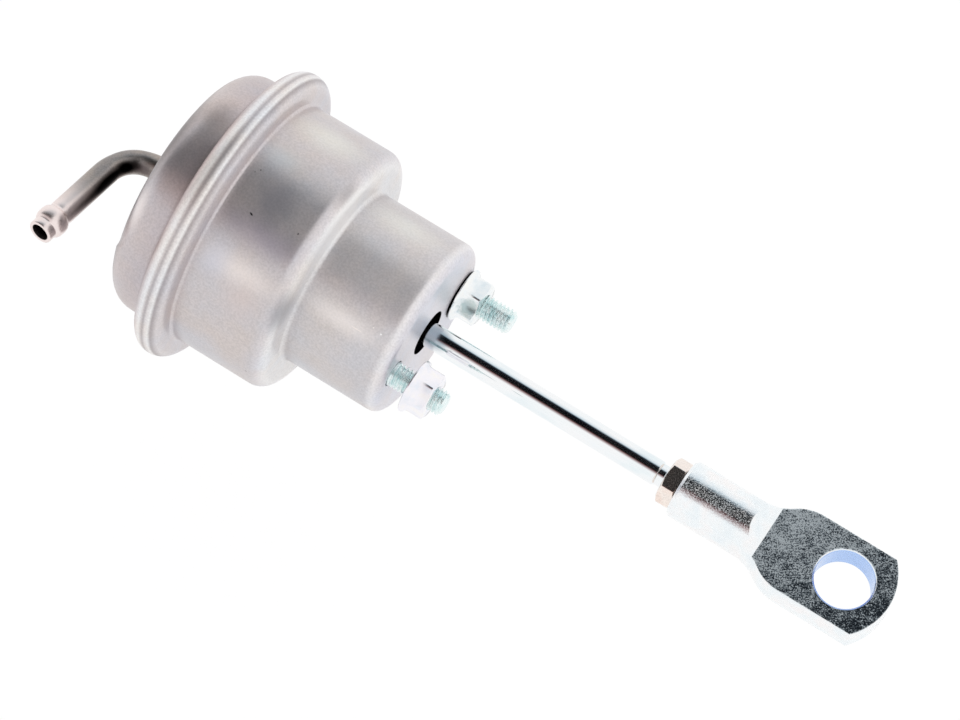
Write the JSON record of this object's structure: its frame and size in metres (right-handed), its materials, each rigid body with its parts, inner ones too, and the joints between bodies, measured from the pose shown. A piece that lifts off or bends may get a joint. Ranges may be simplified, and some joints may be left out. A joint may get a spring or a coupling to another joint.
{
  "type": "wastegate actuator",
  "caption": "Pressure canister with a rolled rim, hose elbow and mounting studs, and a sprung push rod ending in an adjustable flat eye.",
  "frame": {"origin": "on the canister's axis, in the flat front face that seats on a bracket, midway between the two studs", "axes": "+X along the rod, out of the canister; +Y from the lower stud to the upper stud; +Z completes the frame and points up"},
  "size_m": [0.2085, 0.0738, 0.0738],
  "materials": {
    "satin_sheet_steel": "satin drawn sheet steel",
    "tube_steel": "dull drawn steel",
    "bright_zinc": "bright zinc plate",
    "plain_steel": "plain oiled steel",
    "spring_steel": "drawn spring wire",
    "diaphragm_rubber": "fabric-reinforced rubber",
    "braze": "braze fillet"
  },
  "bodies": {
    "canister": {"front_can": "satin_sheet_steel", "rear_cover": "satin_sheet_steel", "hose_elbow": "tube_steel", "braze_ring": "braze", "stud_plate": "tube_steel", "stud_upper": "bright_zinc", "stud_lower": "bright_zinc", "flange_nut_upper": "bright_zinc", "flange_nut_lower": "bright_zinc", "spring_seat": "tube_steel", "spring": "spring_steel"},
    "diaphragm": {"diaphragm": "diaphragm_rubber"},
    "rod": {"piston_cup": "tube_steel", "spring_centring_cup": "tube_steel", "retainer_plate": "tube_steel", "rivet_washer": "plain_steel", "rod": "bright_zinc", "jam_nut": "plain_steel", "rod_end": "bright_zinc"}
  },
  "joints": [
    {"name": "rod_stroke", "type": "slide", "parent": "canister", "child": "diaphragm", "axis": [1, 0, 0], "range_m": [0, 0.012], "stiffness_N_per_m": 3200, "springref_m": -0.034, "deforming": ["spring", "diaphragm"]},
    {"name": "rod_swing", "type": "hinge", "parent": "diaphragm", "child": "rod", "pos_m": [-0.0629, 0, 0], "axis": [0, -0.3173, 0.9483], "range_deg": [-2.2, 2.2], "stiffness_Nm_per_rad": 20, "deforming": ["diaphragm"]}
  ]
}
